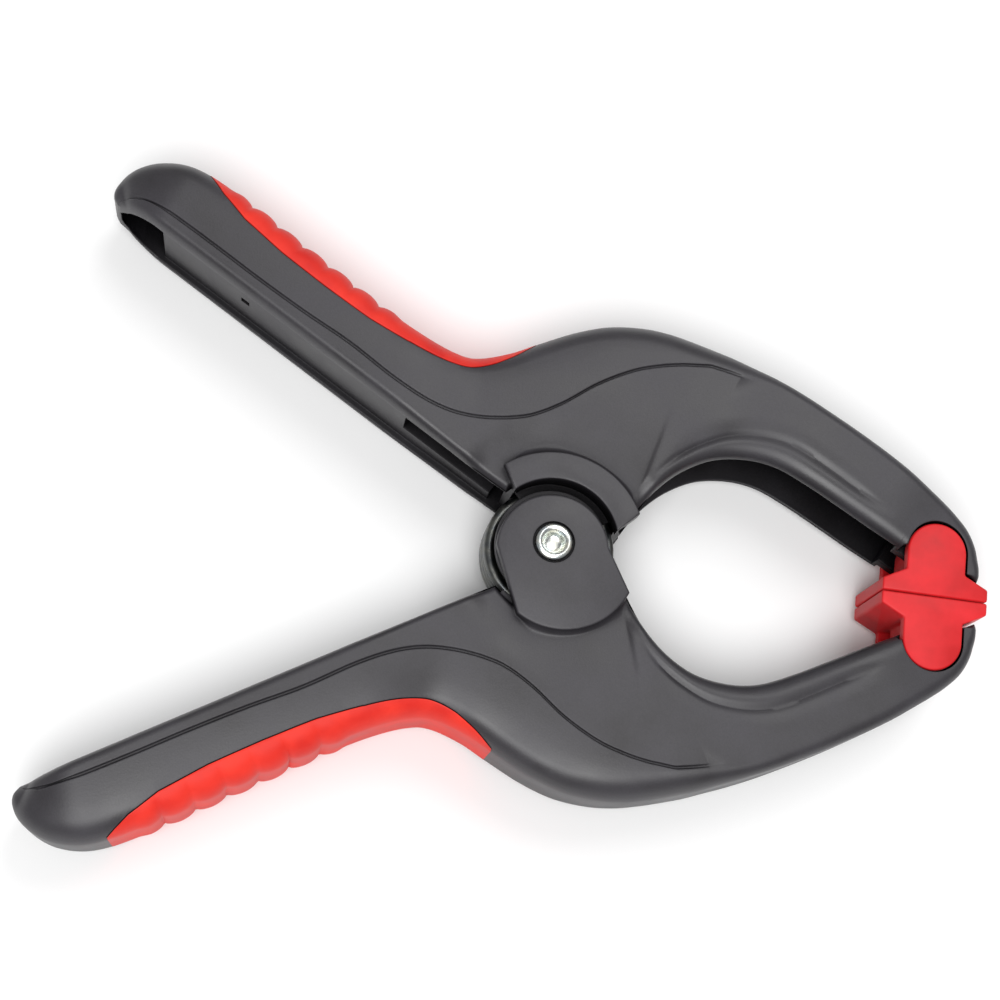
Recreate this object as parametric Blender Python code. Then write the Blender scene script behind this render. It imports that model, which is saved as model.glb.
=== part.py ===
"""Spring clamp, closed, lying on its side: two identical channel-section arms turned face to face,
soft grips, a riveted pivot with a torsion spring round it, and a swivelling pad at each jaw tip."""

from math import cos, pi, radians, sin

import bmesh
import bpy
from mathutils import Vector

MM = 0.001  # every size below is in millimetres

# Pivot stack, measured from the mid-plane of the clamp
MID_HEIGHT = 15.0  # the mid-plane above the surface that the clamp lies on
CHEEK_FACE = 14.2  # outer cheek of one arm
CHEEK_BACK = 11.0
LUG_FACE = 10.7  # inner lug of the other arm, under that cheek
LUG_BACK = 7.9
COLLAR_BACK = 4.2  # the collar on the lug that centres the coil
COLLAR_RADIUS = (8.8, 10.8)
ARM_CUTOUT = 15.2  # radius cleared round the pivot for the other arm and the coil
SHELL_CUTOUT = 16.4  # the channel section itself stops here; ring, wall and lug carry on inwards
HUB_WALL = (15.7, 18.1)  # inner and outer radius of the wall round the coil
CHEEK_RADIUS = 13.1
CHEEK_SHIFT = 1.8  # the cheek's centre lies this far into its own arm
LUG_RADIUS = 13.2
PLATEAU_CENTRE = (2.6, 2.9)
PLATEAU_RADIUS = 17.4
RING_RADIUS = 21.6  # raised ring round the cut-out
BORE_RADIUS = 3.3
SINK_RADIUS = 4.9  # recess for a rivet head
SINK_FLOOR = 13.4

# Arm section
HANDLE_HALF = 14.8
HUB_HALF = 13.3
JAW_HALF = 13.4
NOSE_HALF = 11.2
WALL = 3.2
HANDLE_HOLLOW = 10.9
JAW_HOLLOW = 10.2
NOSE_HOLLOW = 4.9

# Handle, in its own directions: along runs outwards from the pivot, out runs away from the other handle
HANDLE_ANGLE = radians(149.5)
HANDLE_OFFSET = 3.3
WEB_DEPTH = 3.2
WEB_THICK = 2.2
WEB_FROM = 20.0
WEB_TO = 118.0
SLOT_TO = 46.0
SLOT_HALF = 4.2
WEB_HOLE_ALONG = 93.0
WEB_HOLE = 2.4
LEG_WAY_ALONG = (4.0, 24.0)  # room for the spring's leg where it leaves the coil
LEG_WAY_OUT = (7.0, 12.4)

# Pads
PAD_PIVOT = (91.6, 10.6)
PAD_HALF = 11.7
WING_HALF = 12.75
WING_ROOT = 5.9
WING_TIP = 3.05
PAD_GAP = 0.15  # half the gap between the closed pads
LOBE_RADIUS = 7.1
EAR_INNER = 8.35
CORE_HALF = 4.55
CORE_RADIUS = 5.6
POCKET_FLOOR = 8.0
POCKET_RADIUS = 7.6
POCKET_WAY = 9.3  # the pocket widens to this on its throat side, where the pad swings
POCKET_NOTCH = 8.3   # start of the slope that lets the wing's rear edge swing in
PIN_RADIUS = 1.5
PIN_HALF = 10.0
PIN_GAP = 0.3

# Torsion spring
WIRE = 2.8
COIL_RADIUS = 13.3
COIL_HALF = 6.2
COIL_TURNS = 4
COIL_POINTS = 20  # points in a turn
LEG_END_ALONG = 44.0
LEG_END_OUT = 7.2
LEG_END_HEIGHT = 1.6
LEG_STEPS = 8

# Rivet and sleeve
SHANK_RADIUS = 3.0
HEAD_RADIUS = 4.3
HEAD_UNDER = 13.7
SLEEVE_RADIUS = 5.0
SLEEVE_HALF = 7.6

# Soft grip
GRIP_GAP = 0.3
GRIP_HALF = 14.5
GRIP_SPINE = 2.8
RIDGE_PITCH = 7.7
RIDGE_DEPTH = 0.7
RIDGE_COUNT = 7
RIDGE_FROM = 113.0  # along the handle, counted down towards the pivot

ROUND = 40  # points round a full turn of a large circle

BODY_GREY = (0.062, 0.060, 0.063, 1)
GRIP_RED = (0.78, 0.05, 0.03, 1)
PAD_RED = (0.80, 0.055, 0.055, 1)
ZINC = (0.70, 0.72, 0.72, 1)
SPRING_STEEL = (0.45, 0.46, 0.46, 1)


def clear_scene():
    for obj in list(bpy.data.objects):
        bpy.data.objects.remove(obj, do_unlink=True)


def material(name, colour, roughness, metallic=0.0):
    made = bpy.data.materials.new(name)
    made.use_nodes = True
    shader = made.node_tree.nodes["Principled BSDF"]
    shader.inputs["Base Color"].default_value = colour
    shader.inputs["Roughness"].default_value = roughness
    shader.inputs["Metallic"].default_value = metallic
    made.diffuse_color = colour
    return made


def frame_empty(name, place, turn=0.0):
    """An empty on a joint's axis, turned about X for the mirrored side of the clamp."""
    empty = bpy.data.objects.new(name, None)
    empty.location = Vector(place) * MM
    empty.rotation_euler.x = turn
    bpy.context.scene.collection.objects.link(empty)
    return empty


def add_object(name, bm, frame, finish=None):
    """Turns a bmesh in millimetres into an object under a frame empty."""
    bmesh.ops.remove_doubles(bm, verts=bm.verts, dist=0.0005)
    bmesh.ops.recalc_face_normals(bm, faces=bm.faces)
    bmesh.ops.scale(bm, vec=(MM, MM, MM), verts=bm.verts)
    mesh = bpy.data.meshes.new(name)
    bm.to_mesh(mesh)
    bm.free()
    mesh.shade_smooth()
    mesh.set_sharp_from_angle(angle=radians(35))
    obj = bpy.data.objects.new(name, mesh)
    obj.parent = frame
    if finish:
        mesh.materials.append(finish)
    bpy.context.scene.collection.objects.link(obj)
    return obj


def boolean(target, helper, operation):
    """Cuts a helper from a piece, or joins it on. The helper stays in the file as a wire guide."""
    helper.hide_render = True
    helper.display_type = "WIRE"
    step = target.modifiers.new(f"{operation.title()} {helper.name}", "BOOLEAN")
    step.operation = operation
    step.solver = "EXACT"
    step.object = helper


def spline(points, steps):
    """Catmull-Rom curve through the points, with a few steps in each span and free ends."""
    ends = [points[0]] + list(points) + [points[-1]]
    curve = []
    for i in range(len(points) - 1):
        a, b, c, d = (Vector(p) for p in ends[i : i + 4])
        for k in range(steps):
            t = k / steps
            curve.append(
                b
                + (c - a) * (t / 2)
                + (2 * a - 5 * b + 4 * c - d) * (t * t / 2)
                + (3 * b - a - 3 * c + d) * (t * t * t / 2)
            )
    curve.append(Vector(points[-1]))
    return curve


def arc(centre, radius, start, end, count):
    """Points on a circle, angles in degrees."""
    points = []
    for k in range(count + 1):
        angle = radians(start + (end - start) * k / count)
        points.append((centre[0] + radius * cos(angle), centre[1] + radius * sin(angle)))
    return points


def on_handle(along, out):
    """A point of the handle's own directions, in the arm's frame."""
    direction = (cos(HANDLE_ANGLE), sin(HANDLE_ANGLE))
    outward = (direction[1], -direction[0])
    reach = out + HANDLE_OFFSET
    return (
        direction[0] * along + outward[0] * reach,
        direction[1] * along + outward[1] * reach,
    )


def loft(rings):
    """A closed solid through equal rings of 3-D points."""
    bm = bmesh.new()
    made = [[bm.verts.new(point) for point in ring] for ring in rings]
    count = len(rings[0])
    for first, second in zip(made, made[1:]):
        for k in range(count):
            after = (k + 1) % count
            bm.faces.new((first[k], first[after], second[after], second[k]))
    bm.faces.new(made[0])
    bm.faces.new(made[-1])
    return bm


def plate(outline, low, high):
    """An outline in X and Y, filled and extruded from one height to another."""
    bm = bmesh.new()
    face = bm.faces.new([bm.verts.new((x, y, low)) for x, y in outline])
    lifted = bmesh.ops.extrude_face_region(bm, geom=[face])["geom"]
    verts = [v for v in lifted if isinstance(v, bmesh.types.BMVert)]
    bmesh.ops.translate(bm, vec=(0, 0, high - low), verts=verts)
    return bm


def turned(profile, centre=(0, 0), steps=ROUND):
    """A profile of (radius, height) pairs spun round an upright axis; it starts and ends on the axis."""
    bm = bmesh.new()
    verts = [bm.verts.new((centre[0] + r, centre[1], z)) for r, z in profile]
    edges = [bm.edges.new(pair) for pair in zip(verts, verts[1:])]
    bmesh.ops.spin(
        bm,
        geom=verts + edges,
        cent=(centre[0], centre[1], 0),
        axis=(0, 0, 1),
        angle=2 * pi,
        steps=steps,
        use_merge=True,
    )
    bmesh.ops.remove_doubles(bm, verts=bm.verts, dist=0.0005)
    return bm


def cylinder(radius, low, high, centre=(0, 0), steps=ROUND):
    return plate(arc(centre, radius, 0, 360 - 360 / steps, steps - 1), low, high)


def tube(outer, inner, low, high, steps=ROUND):
    """A pipe round the pivot."""
    bm = bmesh.new()
    corners = ((inner, low), (outer, low), (outer, high), (inner, high))
    verts = [bm.verts.new((r, 0, z)) for r, z in corners]
    edges = [bm.edges.new((verts[k], verts[(k + 1) % 4])) for k in range(4)]
    bmesh.ops.spin(
        bm,
        geom=verts + edges,
        cent=(0, 0, 0),
        axis=(0, 0, 1),
        angle=2 * pi,
        steps=steps,
        use_merge=True,
    )
    return bm


# The arm's outer edge and inner edge are paired, station by station, from handle tip to nose.
# Each handle pair is (along, out) on the outer edge and (along) on the straight inner rim.
TIP_PAIRS = (
    ((134.5, 1.0), 130.0),
    ((134.6, 5.2), 128.4),
    ((132.9, 10.2), 126.0),
    ((129.6, 14.2), 123.4),
    ((125.2, 17.0), 120.4),
    ((120.0, 18.6), 117.0),
    ((113.0, 19.2), 112.0),
)
HANDLE_PAIRS = (
    ((104.0, 19.3), 104.0),
    ((92.0, 19.0), 92.0),
    ((79.0, 18.8), 79.0),
    ((66.0, 18.7), 66.0),
    ((54.0, 19.2), 52.0),
    ((46.0, 20.6), 40.0),
)
HANDLE_END = ((-22.0, 43.6), 26.0)  # outer edge point, along the rim
# Over the hub the inner edge is an arc round the pivot: outer edge point, angle on the arc.
HUB_PAIRS = (
    ((-14.5, 46.0), 137.0),
    ((-7.5, 49.6), 118.0),
    ((0.5, 53.5), 98.0),
    ((8.5, 56.2), 76.0),
    ((16.5, 57.1), 52.0),
    ((23.0, 56.7), 32.0),
    ((28.0, 55.7), 17.0),
)
# Along the jaw: outer edge point, inner edge point of the throat and then of the tip's underside.
JAW_PAIRS = (
    ((31.5, 54.8), (17.0, 7.0)),
    ((35.5, 53.6), (20.0, 12.0)),
    ((39.5, 52.3), (23.6, 17.0)),
    ((44.5, 50.3), (29.0, 22.0)),
    ((50.0, 48.1), (36.0, 25.8)),
    ((57.0, 45.0), (44.0, 27.1)),
    ((64.0, 41.5), (51.5, 26.2)),
    ((71.0, 37.8), (59.5, 22.8)),
    ((78.0, 33.8), (68.0, 18.4)),
    ((84.0, 30.0), (75.5, 14.4)),
    ((88.5, 26.8), (81.0, 11.6)),
)
NOSE_PAIRS = (
    ((89.6, 26.0), (82.0, 11.1)),
    ((92.5, 23.9), (84.8, 9.5)),
    ((96.0, 21.1), (89.0, 7.4)),
    ((99.4, 17.6), (92.6, 6.6)),
    ((101.5, 13.6), (95.6, 6.6)),
    ((102.4, 9.6), (97.4, 6.6)),
    ((102.5, 6.8), (98.4, 6.5)),
    ((102.2, 5.0), (99.4, 6.4)),
)
STEPS = 2  # loft stations in each pair's span


def arm_edges():
    """Paired outer and inner edge lines of the whole arm, and where each part of it ends."""
    handle = TIP_PAIRS + HANDLE_PAIRS
    outer = [on_handle(*pair[0]) for pair in handle] + [HANDLE_END[0]]
    outer += [pair[0] for pair in HUB_PAIRS + JAW_PAIRS + NOSE_PAIRS]
    rim = [on_handle(pair[1], 0) for pair in handle] + [on_handle(HANDLE_END[1], 0)]
    round_hub = [arc((0, 0), SHELL_CUTOUT, a, a, 1)[0] for _, a in HUB_PAIRS]
    throat = [round_hub[-1]] + [pair[1] for pair in JAW_PAIRS + NOSE_PAIRS]
    inner = spline(rim + [round_hub[0]], STEPS)
    inner += spline(round_hub, STEPS)[1:]
    inner += spline(throat, STEPS)[1:]
    return spline(outer, STEPS), inner


def half_thickness(x):
    """Half the arm's thickness along it: full in the handle, thinner at the hub and the nose."""
    knots = (
        (-40, HANDLE_HALF),
        (-20, HUB_HALF),
        (20, HUB_HALF),
        (30, JAW_HALF),
        (78, JAW_HALF),
        (101, NOSE_HALF),
    )
    if x <= knots[0][0]:
        return HANDLE_HALF
    for (x0, h0), (x1, h1) in zip(knots, knots[1:]):
        if x <= x1:
            share = (x - x0) / (x1 - x0)
            return h0 + (h1 - h0) * share * share * (3 - 2 * share)
    return NOSE_HALF


def place(outer, inner, depth, height):
    """A point so many millimetres in from the outer edge towards the inner one."""
    point = outer + (inner - outer).normalized() * depth
    return (point.x, point.y, height)


def arm_ring(outer, inner, hollow):
    """The channel section at one station: outer wall, two side plates, open on the inner edge."""
    wide = (inner - outer).length
    half = half_thickness((outer.x + inner.x) / 2)
    front = (
        (0.0, 0.0),
        (0.0, half - 4.4),
        (0.5, half - 2.2),
        (2.0, half - 0.8),
        (min(6.0, wide - 2.6), half),
        (wide - 1.8, half),
        (wide - 0.5, half - 0.4),
        (wide, half - 1.3),
        (wide, hollow + 0.7),
        (wide - 0.5, hollow),
        (min(WALL, wide - 0.9), hollow),
        (min(WALL, wide - 0.9), 0.0),
    )
    ring = [place(outer, inner, depth, z) for depth, z in front]
    ring += [place(outer, inner, depth, -z) for depth, z in front[-2:0:-1]]
    return ring


def arm_shell():
    outer, inner = arm_edges()
    hub = (len(TIP_PAIRS) + len(HANDLE_PAIRS)) * STEPS
    nose = hub + (1 + len(HUB_PAIRS) + len(JAW_PAIRS)) * STEPS
    rings = []
    for k, (out_point, in_point) in enumerate(zip(outer, inner)):
        hollow = HANDLE_HOLLOW if k < hub else JAW_HOLLOW if k < nose else NOSE_HOLLOW
        rings.append(arm_ring(out_point, in_point, hollow))
    return loft(rings)


def handle_block(along, out, low, high):
    """A block in the handle's directions."""
    outline = [
        on_handle(along[0], out[0]),
        on_handle(along[1], out[0]),
        on_handle(along[1], out[1]),
        on_handle(along[0], out[1]),
    ]
    return plate(outline, low, high)


def cheek_outline():
    """The outer cheek: round the pivot on the free side, widening into the raised plateau."""
    centre = (0, CHEEK_SHIFT)
    free_side = arc(centre, CHEEK_RADIUS, 178, 350, 16)
    raised = arc(PLATEAU_CENTRE, PLATEAU_RADIUS, 22, 122, 14)
    return free_side + raised


def lug_outline():
    return arc((0, 0), LUG_RADIUS, 129, 391, 22) + arc((0, 0), ARM_CUTOUT + 2, 31, 129, 12)


def ring_outline():
    """The raised ring round the cut-out for the other arm's cheek."""
    outer = arc((0, 0), RING_RADIUS, 26, 128, 14)
    inner = arc((0, 0), ARM_CUTOUT, 132, 18, 14)
    return outer + inner


def arm(name, frame, finish):
    """One arm. Its lug is on the frame's +Z side and its outer cheek on the -Z side."""
    body = add_object(name, arm_shell(), frame, finish)

    def join(part, bm):
        boolean(body, add_object(f"{name}_{part}", bm, frame), "UNION")

    def cut(part, bm):
        boolean(body, add_object(f"{name}_{part}", bm, frame), "DIFFERENCE")

    web = (WEB_DEPTH, WEB_DEPTH + WEB_THICK)
    join("web", handle_block((WEB_FROM, WEB_TO), web, -HANDLE_HOLLOW - 1, HANDLE_HOLLOW + 1))
    hub_wall = arc((0, 0), HUB_WALL[0], 22, 130, 14) + arc((0, 0), HUB_WALL[1], 130, 22, 14)
    join("hub_wall", plate(hub_wall, -JAW_HOLLOW - 1, JAW_HOLLOW + 1))
    outer, inner = arm_edges()
    first = (len(TIP_PAIRS + HANDLE_PAIRS + HUB_PAIRS) + 3) * STEPS
    last = first + (len(JAW_PAIRS) - 4) * STEPS
    rib = []
    for k in range(first, last):
        out_point = outer[k].lerp(outer[k + 1], 0.5)
        in_point = inner[k].lerp(inner[k + 1], 0.5)
        deep = (in_point - out_point).length - 7
        corners = ((1.5, -1), (deep, -1), (deep, 1), (1.5, 1))
        rib.append([place(out_point, in_point, depth, z) for depth, z in corners])
    join("jaw_rib", loft(rib))
    through_web = (WEB_DEPTH - 1, WEB_DEPTH + WEB_THICK + 1)
    cut("leg_slot", handle_block((WEB_FROM - 8, SLOT_TO), through_web, -SLOT_HALF, SLOT_HALF))
    cut("leg_way", handle_block(LEG_WAY_ALONG, LEG_WAY_OUT, -1, LUG_BACK - 0.1))
    hole = (WEB_HOLE_ALONG, WEB_HOLE_ALONG + WEB_HOLE)
    cut("web_hole", handle_block(hole, through_web, -WEB_HOLE / 2, WEB_HOLE / 2))
    join("ring", plate(ring_outline(), LUG_FACE - 1.2, CHEEK_FACE))
    join("lug", plate(lug_outline(), LUG_BACK, LUG_FACE))
    collar_in, collar_out = COLLAR_RADIUS
    join("collar", tube(collar_out, collar_in, COLLAR_BACK, LUG_BACK + 1.3, steps=30))
    join("cheek", plate(cheek_outline(), -CHEEK_FACE, -CHEEK_BACK))
    cut("pivot_bore", cylinder(BORE_RADIUS, -20, 20, steps=28))
    cut("rivet_sink", cylinder(SINK_RADIUS, -20, -SINK_FLOOR, steps=32))
    x, y = PAD_PIVOT
    left = x - POCKET_WAY
    right = x + POCKET_RADIUS
    for side, low, high in (("back", -20, -POCKET_FLOOR), ("front", POCKET_FLOOR, 20)):
        cut(f"ear_pocket_{side}", cylinder(POCKET_RADIUS, low, high, centre=PAD_PIVOT))
        below = ((left, 0), (right, 0), (right, y), (x - POCKET_NOTCH, y + 0.9), (left, y - 0.4))
        cut(f"ear_way_{side}", plate(below, low, high))
    cut("pin_bore", cylinder(PIN_RADIUS + PIN_GAP, -20, 20, centre=PAD_PIVOT, steps=20))
    return body


# Grip, in the handle's directions: (along, depth of its edge below the handle's outer edge)
GRIP_PAIRS = (
    (116.0, 0.9),
    (112.0, 3.2),
    (104.0, 5.4),
    (92.0, 6.2),
    (79.0, 6.2),
    (66.0, 5.8),
    (56.0, 4.8),
)
# The same where the handle runs into the shoulder: (x, depth)
VALLEY_PAIRS = (
    (-38.0, 4.8),
    (-30.0, 4.2),
    (-24.0, 3.7),
    (-18.0, 2.9),
    (-12.0, 1.3),
)
GRIP_END_INNER = (-7.1, 13.4)  # what the grip's last ring points at
GRIP_STEPS = 6
CUTTER_PROUD = 3.0


def ridge(along):
    """How far the grip's surface dips below its crest between the finger ridges."""
    travelled = (RIDGE_FROM - along) / RIDGE_PITCH
    if travelled < 0 or travelled > RIDGE_COUNT:
        return 0.0
    return RIDGE_DEPTH * (1 - abs(sin(pi * travelled)) ** 0.6)


def handle_coordinates(point):
    direction = Vector((cos(HANDLE_ANGLE), sin(HANDLE_ANGLE)))
    outward = Vector((direction.y, -direction.x))
    return point.dot(direction), point.dot(outward) - HANDLE_OFFSET


def grip_depth(along, x):
    """How far down the side plates the grip reaches at a place on the handle, or None past its ends."""
    if along > GRIP_PAIRS[0][0]:
        return None
    for (a1, d1), (a0, d0) in zip(GRIP_PAIRS, GRIP_PAIRS[1:]):
        if a0 <= along <= a1:
            return d0 + (d1 - d0) * (along - a0) / (a1 - a0)
    for (x0, d0), (x1, d1) in zip(VALLEY_PAIRS, VALLEY_PAIRS[1:]):
        if x0 <= x <= x1:
            return d0 + (d1 - d0) * (x - x0) / (x1 - x0)
    return VALLEY_PAIRS[0][1] if x < VALLEY_PAIRS[0][0] else None


def grip(name, frame, finish, gap=0.0):
    """The soft grip: a saddle over the handle's back, or with a gap the cutter that seats it."""
    handle = TIP_PAIRS + HANDLE_PAIRS
    edge = [on_handle(*pair[0]) for pair in handle] + [HANDLE_END[0]]
    edge += [pair[0] for pair in HUB_PAIRS[:2]]
    rim = [on_handle(pair[1], 0) for pair in handle]
    rim += [on_handle(HANDLE_END[1], 0), on_handle(15, 0), GRIP_END_INNER]
    edge = spline(edge, GRIP_STEPS)
    rim = spline(rim, GRIP_STEPS)
    rings = []
    for out_point, in_point in zip(edge, rim):
        along = handle_coordinates(out_point)[0]
        deep = grip_depth(along, out_point.x)
        if deep is None:
            continue
        deep += gap
        proud = CUTTER_PROUD if gap else 0.0
        half = GRIP_HALF + proud
        spine = min(GRIP_SPINE, 0.55 * deep) + gap * 0.5
        skirt = HANDLE_HALF - 3.4 - gap
        dip = 0.0 if gap else ridge(along)
        front = (
            (dip - proud, 0.0),
            (dip - proud, half - 4.2),
            (dip + 0.5 - proud, half - 2.0),
            (min(dip + 1.6, deep * 0.6) - proud, half - 0.7),
            (max(deep * 0.8, min(dip + 2.0, deep * 0.7)), half),
            (deep, half),
            (deep, skirt),
            (spine, skirt),
            (spine, 0.0),
        )
        ring = [place(out_point, in_point, depth, z) for depth, z in front]
        ring += [place(out_point, in_point, depth, -z) for depth, z in front[-2:0:-1]]
        rings.append(ring)
    return add_object(name, loft(rings), frame, finish)


def pad(name, frame, finish):
    """A jaw pad, about its own swivel axis: wing, two outer ears and a core between the jaw walls."""
    px, py = PAD_PIVOT
    root = WING_ROOT - py
    wing = (
        (-WING_HALF, PAD_GAP - py),
        (WING_HALF, PAD_GAP - py),
        (WING_HALF, WING_TIP - py),
        (LOBE_RADIUS, root),
        (-LOBE_RADIUS, root),
        (-WING_HALF, WING_TIP - py),
    )
    body = add_object(name, plate(wing, -PAD_HALF, PAD_HALF), frame, finish)
    foot = root - 1.5
    parts = (
        ("ear_front", LOBE_RADIUS, EAR_INNER, PAD_HALF),
        ("ear_back", LOBE_RADIUS, -PAD_HALF, -EAR_INNER),
        ("core", CORE_RADIUS, -CORE_HALF, CORE_HALF),
    )
    for part, radius, low, high in parts:
        outline = arc((0, 0), radius, 0, 180, 16) + [(-radius, foot), (radius, foot)]
        boolean(body, add_object(f"{name}_{part}", plate(outline, low, high), frame), "UNION")
    bore = cylinder(PIN_RADIUS + PIN_GAP, -PIN_HALF - PIN_GAP, PIN_HALF + PIN_GAP, steps=20)
    boolean(body, add_object(f"{name}_pin_bore", bore, frame), "DIFFERENCE")
    return body


def pad_pin(name, frame, finish):
    profile = (
        (0, -PIN_HALF),
        (PIN_RADIUS - 0.3, -PIN_HALF),
        (PIN_RADIUS, -PIN_HALF + 0.3),
        (PIN_RADIUS, PIN_HALF - 0.3),
        (PIN_RADIUS - 0.3, PIN_HALF),
        (0, PIN_HALF),
    )
    return add_object(name, turned(profile, steps=20), frame, finish)


def rivet(name, frame, finish):
    """Factory head underneath, clinched tubular end on top."""
    profile = (
        (0, -MID_HEIGHT),
        (HEAD_RADIUS - 0.9, -MID_HEIGHT),
        (HEAD_RADIUS - 0.2, -MID_HEIGHT + 0.35),
        (HEAD_RADIUS, -MID_HEIGHT + 0.8),
        (HEAD_RADIUS, -HEAD_UNDER),
        (SHANK_RADIUS, -HEAD_UNDER),
        (SHANK_RADIUS, HEAD_UNDER),
        (HEAD_RADIUS, HEAD_UNDER),
        (HEAD_RADIUS, MID_HEIGHT - 0.6),
        (HEAD_RADIUS - 0.4, MID_HEIGHT - 0.1),
        (HEAD_RADIUS - 1.0, MID_HEIGHT),
        (HEAD_RADIUS - 1.7, MID_HEIGHT - 0.35),
        (2.0, MID_HEIGHT - 1.3),
        (1.8, MID_HEIGHT - 4.0),
        (0, MID_HEIGHT - 4.5),
    )
    return add_object(name, turned(profile, steps=36), frame, finish)


def spring(name, frame, finish):
    """Torsion spring: a leg along each handle, joined by the coil round the pivot."""
    leaving = HANDLE_ANGLE - pi / 2  # where the coil's tangent runs along the upper handle
    start = -leaving
    sweep = 2 * leaving + 2 * pi * COIL_TURNS
    count = round(COIL_POINTS * sweep / (2 * pi))
    coil = []
    for k in range(count + 1):
        share = k / count
        angle = start + sweep * share
        height = -COIL_HALF + 2 * COIL_HALF * share
        coil.append((COIL_RADIUS * cos(angle), COIL_RADIUS * sin(angle), height))

    def leg(side):
        """From the coil's tangent point out to the leg's end, on the side's handle."""
        points = []
        for k in range(1, LEG_STEPS + 1):
            share = k / LEG_STEPS
            ease = share * share * (3 - 2 * share)
            out = COIL_RADIUS - HANDLE_OFFSET
            x, y = on_handle(LEG_END_ALONG * share, out + (LEG_END_OUT - out) * ease)
            height = COIL_HALF + (LEG_END_HEIGHT - COIL_HALF) * ease
            points.append((x, side * y, side * height))
        return points

    points = list(reversed(leg(-1))) + coil + leg(1)
    curve = bpy.data.curves.new(name, "CURVE")
    curve.dimensions = "3D"
    curve.bevel_depth = WIRE / 2 * MM
    curve.bevel_resolution = 2
    curve.use_fill_caps = True
    line = curve.splines.new("POLY")
    line.points.add(len(points) - 1)
    for target, point in zip(line.points, points):
        target.co = (point[0] * MM, point[1] * MM, point[2] * MM, 1)
    line.use_smooth = True
    curve.materials.append(finish)
    obj = bpy.data.objects.new(name, curve)
    obj.parent = frame
    bpy.context.scene.collection.objects.link(obj)
    return obj


def build():
    clear_scene()
    nylon = material("glass_filled_nylon", BODY_GREY, 0.5)
    soft = material("soft_grip_elastomer", GRIP_RED, 0.55)
    pad_soft = material("pad_elastomer", PAD_RED, 0.45)
    zinc = material("zinc_plated_steel", ZINC, 0.3, 1.0)
    wire = material("spring_steel", SPRING_STEEL, 0.35, 1.0)
    px, py = PAD_PIVOT
    for side, turn in (("upper", 0.0), ("lower", pi)):
        flip = cos(turn)
        pivot = frame_empty(f"{side}_arm_pivot", (0, 0, MID_HEIGHT), turn)
        swivel = frame_empty(f"{side}_pad_pivot", (px, flip * py, MID_HEIGHT), turn)
        handle = arm(f"{side}_arm", pivot, nylon)
        seat = grip(f"{side}_grip_seat", pivot, None, gap=GRIP_GAP)
        boolean(handle, seat, "DIFFERENCE")
        grip(f"{side}_grip", pivot, soft)
        pad(f"{side}_pad", swivel, pad_soft)
        pad_pin(f"{side}_pad_pin", swivel, zinc)
    centre = frame_empty("pivot_axis", (0, 0, MID_HEIGHT))
    rivet("pivot_rivet", centre, zinc)
    sleeve = tube(SLEEVE_RADIUS, BORE_RADIUS, -SLEEVE_HALF, SLEEVE_HALF, steps=32)
    add_object("pivot_sleeve", sleeve, centre, zinc)
    spring("torsion_spring", centre, wire)


build()
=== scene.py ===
from math import cos, pi, radians, sin, sqrt

import bmesh
import bpy
from mathutils import Matrix, Vector


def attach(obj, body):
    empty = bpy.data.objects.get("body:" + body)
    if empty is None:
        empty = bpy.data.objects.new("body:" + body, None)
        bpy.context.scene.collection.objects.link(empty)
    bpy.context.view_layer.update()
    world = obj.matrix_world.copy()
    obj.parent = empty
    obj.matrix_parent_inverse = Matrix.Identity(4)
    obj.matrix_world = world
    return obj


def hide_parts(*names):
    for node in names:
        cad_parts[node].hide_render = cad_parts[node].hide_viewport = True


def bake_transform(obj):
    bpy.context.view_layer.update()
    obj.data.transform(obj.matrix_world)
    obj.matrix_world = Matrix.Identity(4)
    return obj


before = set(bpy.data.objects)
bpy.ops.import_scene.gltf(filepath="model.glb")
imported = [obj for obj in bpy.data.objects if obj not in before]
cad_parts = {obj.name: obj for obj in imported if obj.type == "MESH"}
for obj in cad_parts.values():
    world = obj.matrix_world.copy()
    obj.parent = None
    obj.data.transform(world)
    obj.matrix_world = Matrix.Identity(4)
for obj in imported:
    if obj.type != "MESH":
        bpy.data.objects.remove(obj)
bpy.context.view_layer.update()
print("frame loaded:", len(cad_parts), "CAD nodes")

mm = 0.001
midHeight = 15.0   # mid-plane of the clamp above the table, mm
sides = {"upper": 0.0, "lower": pi}   # the lower pieces are the upper ones turned about X


# helpers: shapes are in mm round the pivot's axis until placePiece puts them at their real place
def smoothStep(low, high, value):
    share = min(max((value - low) / (high - low), 0.0), 1.0)
    return share * share * (3 - 2 * share)


def betweenPairs(pairs, place):
    # straight interpolation in a list of (place, value), falling or rising
    for (a, va), (b, vb) in zip(pairs, pairs[1:]):
        if min(a, b) <= place <= max(a, b):
            return va + (vb - va) * (place - a) / (b - a)
    return None


def throughPoints(points, steps):
    # smooth curve through points of any length of tuple
    ends = [points[0]] + list(points) + [points[-1]]
    curve = []
    for i in range(len(points) - 1):
        a, b, c, d = (Vector(p) for p in ends[i:i + 4])
        for k in range(steps):
            t = k / steps
            curve.append(b + (c - a) * (t / 2) + (2 * a - 5 * b + 4 * c - d) * (t * t / 2)
                         + (3 * b - a - 3 * c + d) * (t * t * t / 2))
    curve.append(Vector(points[-1]))
    return curve


def arcPoints(centre, radius, start, end, count):
    angles = [radians(start + (end - start) * k / count) for k in range(count + 1)]
    return [(centre[0] + radius * cos(a), centre[1] + radius * sin(a)) for a in angles]


def loftThrough(rings):
    bm = bmesh.new()
    loops = []
    for ring in rings:
        verts = [bm.verts.new(point) for point in ring]
        loops.append([bm.edges.new(pair) for pair in zip(verts, verts[1:] + verts[:1])])
    for first, second in zip(loops, loops[1:]):
        bmesh.ops.bridge_loops(bm, edges=first + second)
    for loop in (loops[0], loops[-1]):
        bmesh.ops.edgeloop_fill(bm, edges=loop)
    return bm


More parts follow.
